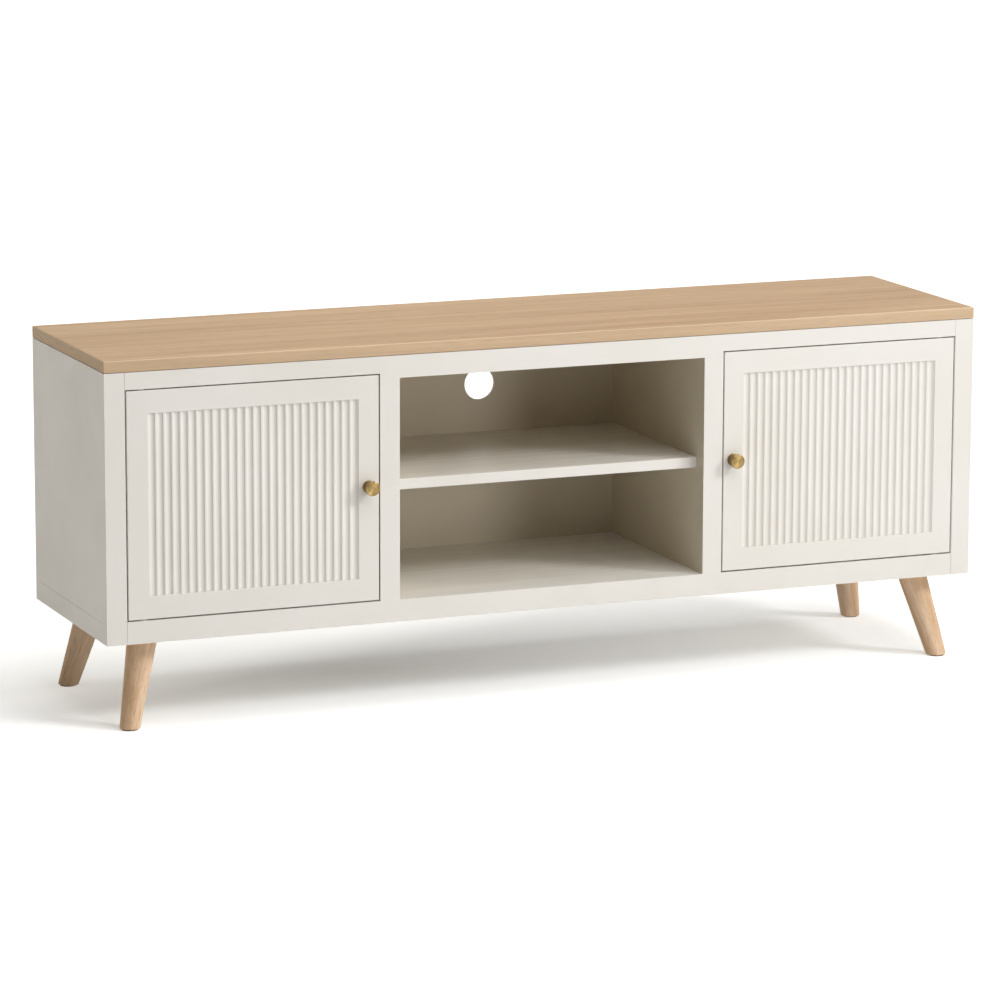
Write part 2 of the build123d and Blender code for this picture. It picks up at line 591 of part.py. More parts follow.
# Legs: tapered rounds on a leaning axis, cut level at both ends and eased at the foot
for end, depth_side in ENDS:
    block_outer_y = FACE_REAR if depth_side < 0 else REAR - REAR_RAIL_THICKNESS
    for hand, side in HANDS:
        foot = leg_foot(side, depth_side)
        top = leg_top(side, depth_side)
        up_axis = top - foot
        cut_allowance = LEG_TOP_DIAMETER * LEG_LEAN
        taper = (LEG_TOP_DIAMETER - LEG_FOOT_DIAMETER) / 2 / up_axis.length
        below = foot - up_axis.normalized() * cut_allowance
        above = top + up_axis.normalized() * cut_allowance
        with BuildPart() as leg:
            with BuildSketch(Plane(origin=below, z_dir=up_axis)):
                Circle(LEG_FOOT_DIAMETER / 2 - taper * cut_allowance)
            with BuildSketch(Plane(origin=above, z_dir=up_axis)):
                Circle(LEG_TOP_DIAMETER / 2 + taper * cut_allowance)
            loft()
            split(bisect_by=Plane.XY.offset(GLIDE_THICKNESS), keep=Keep.TOP)
            split(bisect_by=Plane.XY.offset(CARCASS_BOTTOM), keep=Keep.BOTTOM)
            fillet(leg.faces().sort_by(Axis.Z)[0].edges(), LEG_FOOT_ROUND)
            drill(top, (0, 0, 1), LEG_BOLT_DIAMETER, LEG_BOLT_GRIP + DRILL_POINT)
        save(leg.part, f"{end}_{hand}_leg")

        with BuildPart() as foot_glide:
            with BuildSketch():
                with Locations(foot):
                    Circle(GLIDE_DIAMETER / 2)
            extrude(amount=GLIDE_THICKNESS)
        save(foot_glide.part, f"{end}_{hand}_foot_glide")

        with BuildPart() as leg_block:
            board(
                (side * SIDE_INNER, side * (SIDE_INNER - BLOCK_WIDTH)),
                sorted((block_outer_y, block_outer_y - depth_side * BLOCK_DEPTH)),
                (CARCASS_BOTTOM, FLOOR_BOTTOM),
            )
            drill(top, (0, 0, -1), INSERT_DIAMETER, INSERT_LENGTH)
        save(leg_block.part, f"{end}_{hand}_leg_block")

# Hanger bolts up through each leg's top into an insert nut in its block
bolt_places = [leg_top(side, depth_side) for hand, side in HANDS for end, depth_side in ENDS]
with BuildPart() as leg_bolts:
    with BuildSketch(Plane.XY.offset(CARCASS_BOTTOM - LEG_BOLT_GRIP)):
        with Locations(*[(place.X, place.Y) for place in bolt_places]):
            Circle(LEG_BOLT_DIAMETER / 2)
    extrude(amount=LEG_BOLT_GRIP + INSERT_LENGTH)
save(leg_bolts.part, "leg_bolts")

with BuildPart() as leg_inserts:
    with BuildSketch(Plane.XY.offset(CARCASS_BOTTOM)):
        with Locations(*[(place.X, place.Y) for place in bolt_places]):
            Circle(INSERT_DIAMETER / 2)
            Circle(LEG_BOLT_DIAMETER / 2 + FASTENER_FIT, mode=Mode.SUBTRACT)
    extrude(amount=INSERT_LENGTH)
save(leg_inserts.part, "leg_inserts")
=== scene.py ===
"""Finish of the media cabinet: paint, oak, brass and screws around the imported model, and a plain stage.

Every piece is in metres in the model's own frame: the front faces -Y, X runs along the cabinet, Z is up.
"""

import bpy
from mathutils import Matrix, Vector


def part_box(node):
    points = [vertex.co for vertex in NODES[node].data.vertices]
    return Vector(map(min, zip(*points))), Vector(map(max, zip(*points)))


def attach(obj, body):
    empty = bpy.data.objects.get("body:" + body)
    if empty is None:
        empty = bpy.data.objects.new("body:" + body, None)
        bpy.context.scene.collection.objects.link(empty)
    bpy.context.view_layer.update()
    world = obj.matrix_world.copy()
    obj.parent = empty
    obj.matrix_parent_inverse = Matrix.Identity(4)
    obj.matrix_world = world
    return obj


bl_info = {
    "name": "Media cabinet finish",
    "version": (1, 0, 0),
    "blender": (4, 5, 0),
    "location": "View3D > Sidebar > Cabinet",
    "description": "Finishes the pieces of a media cabinet, adds its screws and sets a plain stage",
    "category": "Object",
}

from math import atan2, hypot, radians

import bpy
from bpy.props import FloatProperty, FloatVectorProperty, IntProperty, PointerProperty
from mathutils import Matrix, Vector

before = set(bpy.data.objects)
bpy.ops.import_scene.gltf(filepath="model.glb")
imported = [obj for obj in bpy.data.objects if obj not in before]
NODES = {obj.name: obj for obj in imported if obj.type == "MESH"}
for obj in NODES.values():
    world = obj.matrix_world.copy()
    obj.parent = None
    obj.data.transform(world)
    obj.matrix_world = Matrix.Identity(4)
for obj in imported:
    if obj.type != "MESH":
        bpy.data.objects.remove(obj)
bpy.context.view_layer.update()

MM = 0.001
HANDS = (("left", -1), ("right", 1))
ENDS = ("front", "rear")
CARCASS = "carcass"
ZINC = "zinc_plate"


def srgb(red, green, blue):
    """A colour written as on screen, 0 to 255, in the linear values that shaders take."""
    def linear(part):
        share = part / 255
        return share / 12.92 if share <= 0.04045 else ((share + 0.055) / 1.055) ** 2.4
    return (linear(red), linear(green), linear(blue))


def colour(name, description, red, green, blue):
    default = srgb(red, green, blue)
    return FloatVectorProperty(
        name=name, description=description, subtype="COLOR", size=3, min=0, max=1, default=default
    )


def length(name, description, millimetres):
    return FloatProperty(name=name, description=description, unit="LENGTH", min=0, default=millimetres * MM)


def share(name, description, default):
    return FloatProperty(name=name, description=description, subtype="FACTOR", min=0, max=1, default=default)


def watts(name, description, default):
    return FloatProperty(name=name, description=description, unit="POWER", min=0, default=default)


def angle(name, description, degrees):
    return FloatProperty(name=name, description=description, subtype="ANGLE", default=radians(degrees))


def number(name, description, least, default):
    return IntProperty(name=name, description=description, min=least, default=default)


class CabinetFinishSettings(bpy.types.PropertyGroup):
    """Colours of the cabinet's finishes."""

    paint: colour("Paint", "Satin paint of the carcass and doors", 229, 225, 218)
    paint_shade: colour("Paint shade", "Slightly warmer patches in that paint", 225, 220, 211)
    paint_roughness: share("Paint roughness", "Roughness of the satin paint", 0.42)
    # Painted shade: the inside tone is darker and warmer than the outside paint, standing for the shade
    # inside the bay and cupboards
    interior_painted_shade: colour("Interior", "Flat paint of the back, the dividers and the ceiling", 212, 201, 180)
    interior_painted_shade_patches: colour("Interior shade", "Slightly darker patches in that paint", 206, 194, 172)
    interior_roughness: share("Interior roughness", "Roughness of the flat paint", 0.62)
    # Grained foil. Its warm tone and darker streaks also carry part of the shade in the bay, so it is partly
    # painted shade
    shelf: colour("Shelf foil", "Grained foil on the shelves and the bay floor", 233, 228, 218)
    oak: colour("Oak", "Light wood between the grain lines of the top", 199, 166, 126)
    oak_grain: colour("Oak grain", "Grain lines of the top", 170, 134, 94)
    # The edge's pale tone is also laid on the eased upper edge as a painted highlight
    oak_edge_and_highlight: colour("Oak edge", "Paler band on the top's long edges", 226, 205, 178)
    leg_oak: colour("Leg oak", "Light wood between the grain lines of the legs", 242, 213, 183)
    leg_grain: colour("Leg grain", "Grain lines of the legs", 206, 169, 131)
    oak_roughness: share("Oak roughness", "Roughness of the matt lacquer", 0.5)
    bare_wood: colour("Bare wood", "Wood of the dowels and leg blocks", 206, 180, 142)
    bare_grain: colour("Bare wood grain", "Grain of the dowels and leg blocks", 178, 147, 107)
    brass: colour("Brass", "Turned brass of the knobs", 152, 130, 86)
    tarnish: colour("Tarnish", "Darker patches on the brass", 119, 97, 57)
    steel: colour("Steel", "Zinc plate on screws, pins and strikes", 190, 191, 188)
    nylon: colour("Nylon", "Bushes and catches", 226, 224, 217)
    glide: colour("Glide", "Plastic glides under the feet", 62, 52, 44)


class CabinetScrewSettings(bpy.types.PropertyGroup):
    """Sizes and spacing of the screws."""

    back_head: length("Back screw head", "Diameter of the heads in the back panel", 7.0)
    back_rise: length("Back screw rise", "How far those heads stand proud", 1.6)
    back_inset: length("Back screw inset", "From the back panel's edge to a screw", 7.5)
    back_across: number("Back screws across", "Screws along the top and bottom", least=2, default=8)
    back_up: number("Back screws up", "Screws up each end, between the corners", least=1, default=2)
    ear_head: length("Catch screw head", "Diameter of the heads under a catch's ears", 6.0)
    ear_rise: length("Catch screw rise", "How far those heads stand proud", 1.6)
    ear_spacing: length("Catch screw spacing", "Between the two screws of one catch", 36.0)
    ear_thickness: length("Catch ear", "Thickness of a catch's ears", 2.5)
    strike_head: length("Strike screw head", "Diameter of the heads on a strike plate", 4.5)
    strike_rise: length("Strike screw rise", "How far those heads stand proud", 0.6)
    strike_spacing: length("Strike screw spacing", "Between the two screws of one plate", 32.0)
    block_head: length("Block screw head", "Diameter of the heads under a leg block", 8.0)
    block_rise: length("Block screw rise", "How far those heads stand proud", 0.4)
    block_inset: length("Block screw inset", "From a leg block's edges to a screw", 14.0)
    ceiling_head: length("Ceiling screw head", "Diameter of the heads that hold the top board", 8.0)
    ceiling_rise: length("Ceiling screw rise", "How far those heads stand proud", 0.4)
    ceiling_inset: length("Ceiling screw inset", "From a cupboard's corner to a screw", 60.0)


class CabinetStageSettings(bpy.types.PropertyGroup):
    """Camera and light."""

    camera_place: FloatVectorProperty(
        name="Camera", description="Where the camera stands", subtype="TRANSLATION", size=3,
        default=(-2.7841, -6.7381, 1.7080),
    )
    camera_azimuth: angle("Camera azimuth", "Turn to the right from looking straight at the front", 22.3156)
    camera_pitch: angle("Camera pitch", "Tilt down", 11.1771)
    camera_roll: angle("Camera roll", "Roll about the line of sight", 0.175)
    camera_lens: FloatProperty(name="Lens", description="Focal length", unit="CAMERA", default=175.31)
    key_watts: watts("Key light", "Power of the key light, from the right in front", 332.0)
    front_watts: watts("Front light", "Power of the high light in front", 42.0)
    low_watts: watts("Low light", "Power of the low light in front", 57.0)
    top_watts: watts("Top light", "Power of the overhead light", 59.0)
    side_watts: watts("Side light", "Power of the light on the left end", 24.0)
    rear_watts: watts("Rear light", "Power of the light on the back", 20.0)
    fill: share("Fill", "Strength of the light from all round", 0.03)
    fill_colour: colour(
        "Fill tone", "Warm tone of the light from all round, the side and the rear", 255, 246, 228
    )
    floor: colour("Floor", "Pale floor", 244, 245, 247)
    floor_glow: colour("Floor glow", "Tone that the floor fades into", 255, 254, 250)


def finish_settings(context):
    return context.scene.cabinet_finish


def screw_settings(context):
    return context.scene.cabinet_screws


def stage_settings(context):
    return context.scene.cabinet_stage


# Shader building


def put(tree, kind, inputs=None, **settings):
    """Add a shader node with its settings, its values and its links."""
    node = tree.nodes.new(kind)
    for key, value in settings.items():
        setattr(node, key, value)
    for key, value in (inputs or {}).items():
        if isinstance(value, bpy.types.NodeSocket):
            tree.links.new(value, node.inputs[key])
        else:
            node.inputs[key].default_value = value
    return node


def new_finish(name):
    """A new material with its node tree and its shader."""
    material = bpy.data.materials.new(name)
    material.use_nodes = True
    return material, material.node_tree, material.node_tree.nodes["Principled BSDF"]


def rgba(colour_values):
    return (*colour_values, 1.0)


def darker(colour_values, kept):
    """A colour with only a share of its light kept."""
    return rgba([part * kept for part in colour_values])


def object_point(tree):
    return put(tree, "ShaderNodeTexCoord").outputs["Object"]


def stretched(tree, vector, scale, rotation=(0, 0, 0), location=(0, 0, 0)):
    """The vector moved, turned and scaled, for a pattern drawn out along one way."""
    inputs = {"Vector": vector, "Scale": scale, "Rotation": rotation, "Location": location}
    return put(tree, "ShaderNodeMapping", inputs).outputs["Vector"]


def noise(tree, vector, scale, detail=2.0, roughness=0.5, distortion=0.0):
    inputs = {
        "Vector": vector,
        "Scale": scale,
        "Detail": detail,
        "Roughness": roughness,
        "Distortion": distortion,
    }
    return put(tree, "ShaderNodeTexNoise", inputs).outputs["Fac"]


# Sockets of a Mix node by its kind: the two values that go in, and the result
MIX_SOCKETS = {"VECTOR": (4, 5, 1), "RGBA": (6, 7, 2)}


def blended(tree, factor, first, second, mode="MIX", kind="RGBA"):
    """One colour, or one vector, laid over another by a factor."""
    first_socket, second_socket, result = MIX_SOCKETS[kind]
    inputs = {0: factor, first_socket: first, second_socket: second}
    return put(tree, "ShaderNodeMix", inputs, data_type=kind, blend_type=mode).outputs[result]


def banded(tree, value, low, high, to_low=0.0, to_high=1.0):
    """A value spread from one range to another, and held at its ends."""
    inputs = {"Value": value, "From Min": low, "From Max": high, "To Min": to_low, "To Max": to_high}
    return put(tree, "ShaderNodeMapRange", inputs).outputs["Result"]


def worked(tree, operation, first, second=0.0):
    return put(tree, "ShaderNodeMath", {0: first, 1: second}, operation=operation).outputs["Value"]


def grey(tree, value):
    return put(tree, "ShaderNodeCombineColor", {0: value, 1: value, 2: value}).outputs["Color"]


def raised(tree, height, strength, distance):
    """A bump from a height."""
    inputs = {"Height": height, "Strength": strength, "Distance": distance}
    return put(tree, "ShaderNodeBump", inputs).outputs["Normal"]


def connect(tree, shader, **sockets):
    for key, value in sockets.items():
        tree.links.new(value, shader.inputs[key.replace("_", " ")])


# Finishes


# The part of a noise's range over which a finish changes from one end to the other
MIDDLE = (0.35, 0.65)
WIDE_MIDDLE = (0.3, 0.7)
# How squarely a face looks along an axis, where its own finish begins and where it is full
SQUARELY = (0.8, 0.95)
LOOSELY = (0.6, 0.8)
ROUGHNESS_SPREAD = 0.05
METAL_ROUGHNESS = (0.28, 0.42)
RELIEF = 0.4 * MM
FINE_RELIEF = 0.2 * MM
FOIL_STREAK = (1.5, 55.0, 55.0)
FOIL_STREAK_TONE = 0.9


def about(roughness):
    """The least and the most of a roughness that varies a little."""
    return (roughness - ROUGHNESS_SPREAD, roughness + ROUGHNESS_SPREAD)


def painted(name, base, shade, roughness, axis=None, foil=None):
    """Sprayed paint with faint clouds and a fine orange peel. Faces along an axis can take a streaked second
    tone instead: foil on the shelves, painted shade on the divider stiles.
    """
    material, tree, shader = new_finish(name)
    coordinates = put(tree, "ShaderNodeTexCoord")
    point = coordinates.outputs["Object"]
    clouds = noise(tree, point, scale=5.0, detail=3.0)
    peel = noise(tree, point, scale=420.0, detail=2.0)
    sheen = noise(tree, point, scale=38.0, detail=2.0)
    tone = blended(tree, banded(tree, clouds, *MIDDLE), rgba(base), rgba(shade))
    # The second tone (foil) is grained foil on the shelves, and painted shade on the divider stiles' inner
    # faces
    if axis:
        facing = put(tree, "ShaderNodeSeparateXYZ", {0: coordinates.outputs["Normal"]})
        on_face = banded(tree, worked(tree, "ABSOLUTE", facing.outputs[axis]), *SQUARELY)
        streaks = noise(tree, stretched(tree, point, FOIL_STREAK), scale=2.0, detail=5.0, roughness=0.6)
        streak_tone = darker(foil, FOIL_STREAK_TONE)
        axis_tone = blended(tree, banded(tree, streaks, *MIDDLE), rgba(foil), streak_tone)
        tone = blended(tree, on_face, tone, axis_tone)
    connect(
        tree,
        shader,
        Base_Color=tone,
        Roughness=banded(tree, sheen, *WIDE_MIDDLE, *about(roughness)),
        Normal=raised(tree, peel, strength=0.12, distance=RELIEF),
    )
    shader.inputs["Specular IOR Level"].default_value = 0.4
    return material


# Oak's patterns: how close each is along the grain and across it
LEAF_STRETCH = (0.5, 5.0, 5.0)
GROWTH_STRETCH = (0.7, 34.0, 34.0)
FIBRE_STRETCH = (5.0, 420.0, 420.0)
PORE_STRETCH = (26.0, 760.0, 760.0)
# How they are laid over each other
GROWTH_SHARE = 0.55
LEAF_SHARE = 0.45
FIGURE_RANGE = (0.38, 0.64)
FIBRE_TONES = (0.90, 1.05)
PORE_RANGE = (0.60, 0.72)
PORE_SHARE = 0.35
PORE_TONE = 0.45
PORE_DEPTH = 1.5


def oak_figure(tree, along, light, grain):
    """Colour and height of straight-grained oak on a vector whose X runs with the grain."""
    leaf = noise(tree, stretched(tree, along, LEAF_STRETCH), scale=2.0, detail=2.0, distortion=0.4)
    growth_point = stretched(tree, along, GROWTH_STRETCH)
    growth = noise(tree, growth_point, scale=2.0, detail=5.0, roughness=0.62, distortion=0.25)
    fibre = noise(tree, stretched(tree, along, FIBRE_STRETCH), scale=2.0, detail=3.0, roughness=0.6)
    pores = noise(tree, stretched(tree, along, PORE_STRETCH), scale=1.0, detail=1.0)
    growth_part = worked(tree, "MULTIPLY", growth, GROWTH_SHARE)
    leaf_part = worked(tree, "MULTIPLY", leaf, LEAF_SHARE)
    figure = worked(tree, "ADD", growth_part, leaf_part)
    tone = blended(tree, banded(tree, figure, *FIGURE_RANGE), rgba(grain), rgba(light))
    fibres = grey(tree, banded(tree, fibre, *MIDDLE, *FIBRE_TONES))
    tone = blended(tree, 1.0, tone, fibres, mode="MULTIPLY")
    pore_mask = banded(tree, pores, *PORE_RANGE, 0.0, PORE_SHARE)
    tone = blended(tree, pore_mask, tone, darker(grain, PORE_TONE))
    height = worked(tree, "SUBTRACT", fibre, worked(tree, "MULTIPLY", pore_mask, PORE_DEPTH))
    return tone, height


# Lacquer over oak: heights at which it is roughest and smoothest, and by how much
LACQUER_HEIGHTS = (0.2, 0.7)
ROUGHER_IN_PORES = 0.08
SMOOTHER_ON_FIBRES = 0.04


def finish_oak(tree, shader, tone, height, roughness, specular=0.35):
    roughest, smoothest = roughness + ROUGHER_IN_PORES, roughness - SMOOTHER_ON_FIBRES
    connect(
        tree,
        shader,
        Base_Color=tone,
        Roughness=banded(tree, height, *LACQUER_HEIGHTS, roughest, smoothest),
        Normal=raised(tree, height, strength=0.18, distance=RELIEF),
    )
    shader.inputs["Specular IOR Level"].default_value = specular


# The paler band on the long edges, and a painted highlight on the eased corner between the turns away from
# the front and the top
EDGE_BAND_SHARE = 0.3
EASED_EDGE_HIGHLIGHT = 0.35
LEAVING_FRONT = (0.15, 0.45)
LEAVING_TOP = (0.97, 0.85)


def oak_board(name, light, grain, edge_band_and_highlight, roughness):
    """Veneered oak with its grain along X, or along Y on the two ends, paler long edges, and a painted
    highlight along the eased upper edges.
    """
    material, tree, shader = new_finish(name)
    coordinates = put(tree, "ShaderNodeTexCoord")
    point = coordinates.outputs["Object"]
    across = stretched(tree, point, (1, 1, 1), rotation=(0, 0, radians(90)))
    facing = put(tree, "ShaderNodeSeparateXYZ", {0: coordinates.outputs["Normal"]})
    on_end = banded(tree, worked(tree, "ABSOLUTE", facing.outputs["X"]), *LOOSELY)
    along = blended(tree, on_end, point, across, kind="VECTOR")
    tone, height = oak_figure(tree, along, light, grain)
    along_front = worked(tree, "ABSOLUTE", facing.outputs["Y"])
    on_front = banded(tree, along_front, *LOOSELY, 0.0, EDGE_BAND_SHARE)
    tone = blended(tree, on_front, tone, rgba(edge_band_and_highlight))
    # Painted highlight: the edge band's pale tone laid on the eased corner, where a rounded edge catches the
    # light
    leaving_front = banded(tree, facing.outputs["Z"], *LEAVING_FRONT)
    leaving_top = banded(tree, facing.outputs["Z"], *LEAVING_TOP)
    eased = worked(tree, "MULTIPLY", leaving_front, leaving_top)
    highlight_share = worked(tree, "MULTIPLY", eased, EASED_EDGE_HIGHLIGHT)
    tone = blended(tree, highlight_share, tone, rgba(edge_band_and_highlight))
    finish_oak(tree, shader, tone, height, roughness)
    return material


def oak_turning(name, light, grain, roughness, axis, start):
    """Turned oak with its grain along the given axis."""
    material, tree, shader = new_finish(name)
    heading = atan2(axis.y, axis.x)
    climb = atan2(axis.z, hypot(axis.x, axis.y))
    turn = Matrix.Rotation(climb, 3, "Y") @ Matrix.Rotation(-heading, 3, "Z")
    moved = stretched(tree, object_point(tree), (1, 1, 1), location=-start)
    along = stretched(tree, moved, (1, 1, 1), rotation=turn.to_euler())
    tone, height = oak_figure(tree, along, light, grain)
    finish_oak(tree, shader, tone, height, roughness, specular=0.15)
    return material


def bare_timber(name, light, grain):
    """Bare planed wood with its grain along X."""
    material, tree, shader = new_finish(name)
    tone, height = oak_figure(tree, object_point(tree), light, grain)
    finish_oak(tree, shader, tone, height, roughness=0.75)
    return material


TARNISH_RANGE = (0.40, 0.70)


def turned_brass(name, base, tarnish, centre):
    """Aged brass with the fine rings that turning leaves round the knob's axis, which runs along Y."""
    material, tree, shader = new_finish(name)
    point = stretched(tree, object_point(tree), (1, 1, 1), location=-centre)
    outward = stretched(tree, point, (1, 0, 1))
    spokes = put(
        tree,
        "ShaderNodeVectorTransform",
        {"Vector": outward},
        vector_type="VECTOR",
        convert_from="OBJECT",
        convert_to="WORLD",
    ).outputs["Vector"]
    rings = put(
        tree,
        "ShaderNodeTexWave",
        {"Vector": point, "Scale": 260.0, "Distortion": 0.6, "Detail": 2.0, "Detail Scale": 3.0},
        wave_type="RINGS",
        rings_direction="Y",
    ).outputs["Fac"]
    patches = noise(tree, point, scale=160.0, detail=4.0, roughness=0.6)
    connect(
        tree,
        shader,
        Base_Color=blended(tree, banded(tree, patches, *TARNISH_RANGE), rgba(base), rgba(tarnish)),
        Roughness=banded(tree, patches, *WIDE_MIDDLE, *METAL_ROUGHNESS),
        Normal=raised(tree, rings, strength=0.15, distance=FINE_RELIEF),
        Tangent=spokes,
    )
    shader.inputs["Metallic"].default_value = 1.0
    shader.inputs["Anisotropic"].default_value = 0.85
    return material


SPANGLE_TONE = 0.8


def zinc_plate(name, base):
    """Zinc-plated steel: a cool grey metal with a faint spangle."""
    material, tree, shader = new_finish(name)
    spangle = noise(tree, object_point(tree), scale=700.0, detail=3.0)
    spangle_mask = banded(tree, spangle, *WIDE_MIDDLE)
    connect(
        tree,
        shader,
        Base_Color=blended(tree, spangle_mask, rgba(base), darker(base, SPANGLE_TONE)),
        Roughness=banded(tree, spangle, *WIDE_MIDDLE, *METAL_ROUGHNESS),
        Normal=raised(tree, spangle, strength=0.08, distance=FINE_RELIEF),
    )
    shader.inputs["Metallic"].default_value = 1.0
    return material


MOTTLE_TONE = 0.9


def moulded(name, base, roughness):
    """Moulded plastic with a fine spark-eroded texture."""
    material, tree, shader = new_finish(name)
    texture = noise(tree, object_point(tree), scale=1400.0, detail=2.0)
    mottle = noise(tree, object_point(tree), scale=90.0, detail=2.0)
    connect(
        tree,
        shader,
        Base_Color=blended(tree, mottle, rgba(base), darker(base, MOTTLE_TONE)),
        Roughness=banded(tree, mottle, *WIDE_MIDDLE, *about(roughness)),
        Normal=raised(tree, texture, strength=0.15, distance=FINE_RELIEF),
    )
    return material


def dress(material, *names):
    """Give CAD nodes their finish."""
    for name in names:
        slots = NODES[name].data.materials
        slots.clear()
        slots.append(material)


def centre_of(node):
    low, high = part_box(node)
    return (low + high) / 2


# Screws


def deselect_all():
    if bpy.context.object and bpy.context.object.mode != "OBJECT":
        bpy.ops.object.mode_set(mode="OBJECT")
    bpy.ops.object.select_all(action="DESELECT")


def select_faces(mesh_object, wanted):
    """Select the faces whose normal passes a test, and leave the object in edit mode."""
    bpy.ops.object.mode_set(mode="OBJECT")
    for part in (mesh_object.data.vertices, mesh_object.data.edges, mesh_object.data.polygons):
        part.foreach_set("select", [False] * len(part))
    for face in mesh_object.data.polygons:
        face.select = wanted(face.normal)
    bpy.ops.object.mode_set(mode="EDIT")
    bpy.ops.mesh.select_mode(type="FACE")


# A screw's proportions, as shares of its head's diameter; climb and height are shares of the head's rise
HEAD_SIDES = 32
DOME_STEPS = 3
DOME_INSET = 0.09
DOME_CLIMB = 0.16
SHANK_INSET = 0.22
SHANK_LENGTH = 0.5
WING_LENGTH = 0.52
WING_WIDTH = 0.13
WING_HEIGHT = 1.1
# Least vertical part of the normal of a face that looks up or down
UPRIGHT = 0.9
SMOOTH_ANGLE = radians(35)


def model_screw(name, diameter, rise):
    """A domed cross-recess head that stands on the plane Z = 0, with a short shank below it."""
    deselect_all()
    bpy.ops.mesh.primitive_cylinder_add(
        vertices=HEAD_SIDES, radius=diameter / 2, depth=rise, location=(0, 0, rise / 2)
    )
    head = bpy.context.object
    head.name = name
    bpy.ops.object.transform_apply(location=True)
    select_faces(head, lambda normal: normal.z > UPRIGHT)
    for step in range(DOME_STEPS):
        bpy.ops.mesh.inset(thickness=diameter * DOME_INSET)
        bpy.ops.transform.translate(value=(0, 0, rise * DOME_CLIMB / (step + 1)))
    select_faces(head, lambda normal: normal.z < -UPRIGHT)
    bpy.ops.mesh.inset(thickness=diameter * SHANK_INSET)
    bpy.ops.mesh.extrude_region_move(TRANSFORM_OT_translate={"value": (0, 0, -diameter * SHANK_LENGTH)})
    bpy.ops.object.mode_set(mode="OBJECT")
    cutters = [model_recess_wing(diameter, rise, quarter) for quarter in range(2)]
    for cutter in cutters:
        cut = head.modifiers.new("recess", "BOOLEAN")
        cut.object = cutter
        cut.operation = "DIFFERENCE"
        cut.solver = "EXACT"
        bpy.context.view_layer.objects.active = head
        bpy.ops.object.modifier_apply(modifier=cut.name)
        bpy.data.objects.remove(cutter)
    deselect_all()
    head.select_set(True)
    bpy.context.view_layer.objects.active = head
    bpy.ops.object.shade_smooth_by_angle(angle=SMOOTH_ANGLE)
    head.data.materials.clear()
    head.data.materials.append(bpy.data.materials[ZINC])
    return head


def model_recess_wing(diameter, rise, quarter):
    """One straight slot of the cross recess, as a cutter."""
    deselect_all()
    bpy.ops.mesh.primitive_cube_add(size=1, location=(0, 0, rise))
    wing = bpy.context.object
    wing.scale = (diameter * WING_LENGTH, diameter * WING_WIDTH, rise * WING_HEIGHT)
    wing.rotation_euler = (0, 0, radians(45 + 90 * quarter))
    bpy.ops.object.transform_apply(location=True, rotation=True, scale=True)
    return wing


def place_screws(model, name, places, outward, body):
    """Copy the modelled screw to each place, with its head facing outward."""
    turn = Vector((0, 0, 1)).rotation_difference(Vector(outward)).to_matrix().to_4x4()
    for count, place in enumerate(places, start=1):
        mesh = model.data.copy()
        mesh.transform(Matrix.Translation(place) @ turn)
        screw = bpy.data.objects.new(f"{name}_{count:02d}", mesh)
        bpy.context.scene.collection.objects.link(screw)
        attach(screw, body)


def spread(first, last, count):
    """Evenly spaced values with both ends."""
    return [first + (last - first) * step / (count - 1) for step in range(count)]


def pair_about(middle, spacing):
    """Two values either side of a middle."""
    return (middle - spacing / 2, middle + spacing / 2)


# Steps that a user can run


class CABINET_OT_paint_boards(bpy.types.Operator):
    """Paint the carcass and the doors, and the inside of the bay and cupboards in a darker, warmer tone of
    painted shade
    """

    bl_idname = "cabinet.paint_boards"
    bl_label = "Paint boards"

    def execute(self, context):
        finish = finish_settings(context)
        # The inside of the bay and cupboards takes the darker tone of painted shade
        inside = painted("interior_paint", finish.interior_painted_shade, finish.interior_painted_shade_patches, finish.interior_roughness)
        paint = (finish.paint, finish.paint_shade, finish.paint_roughness)
        outside = painted("satin_paint", *paint)
        # Painted shade: the stiles' inner faces, which turn into the bay, take the darker inside tone
        between = painted("divider_stile_paint", *paint, axis="X", foil=finish.interior_painted_shade)
        # Shelf tops and the bay floor take the grained foil, which is partly painted shade
        shelved = painted("shelf_foil", *paint, axis="Z", foil=finish.shelf)
        for hand, _ in HANDS:
            dress(between, f"{hand}_divider_stile")
            dress(outside, f"{hand}_end_stile", f"{hand}_top_rail")
            dress(outside, f"{hand}_side_panel", f"{hand}_base_rail")
            dress(outside, f"{hand}_door_frame", f"{hand}_fluted_panel")
            dress(inside, f"{hand}_divider_panel")
            dress(shelved, f"{hand}_cupboard_shelf")
        dress(shelved, "floor_panel", "bay_shelf")
        dress(outside, "bay_top_rail", "bottom_rail", "rear_base_rail")
        dress(inside, "ceiling_panel", "back_panel")
        return {"FINISHED"}


class CABINET_OT_veneer_top(bpy.types.Operator):
    """Veneer the top board in light oak"""

    bl_idname = "cabinet.veneer_top"
    bl_label = "Veneer top board"

    def execute(self, context):
        finish = finish_settings(context)
        veneer = oak_board("oak_veneer", finish.oak, finish.oak_grain, finish.oak_edge_and_highlight, finish.oak_roughness)
        dress(veneer, "top_board")
        return {"FINISHED"}


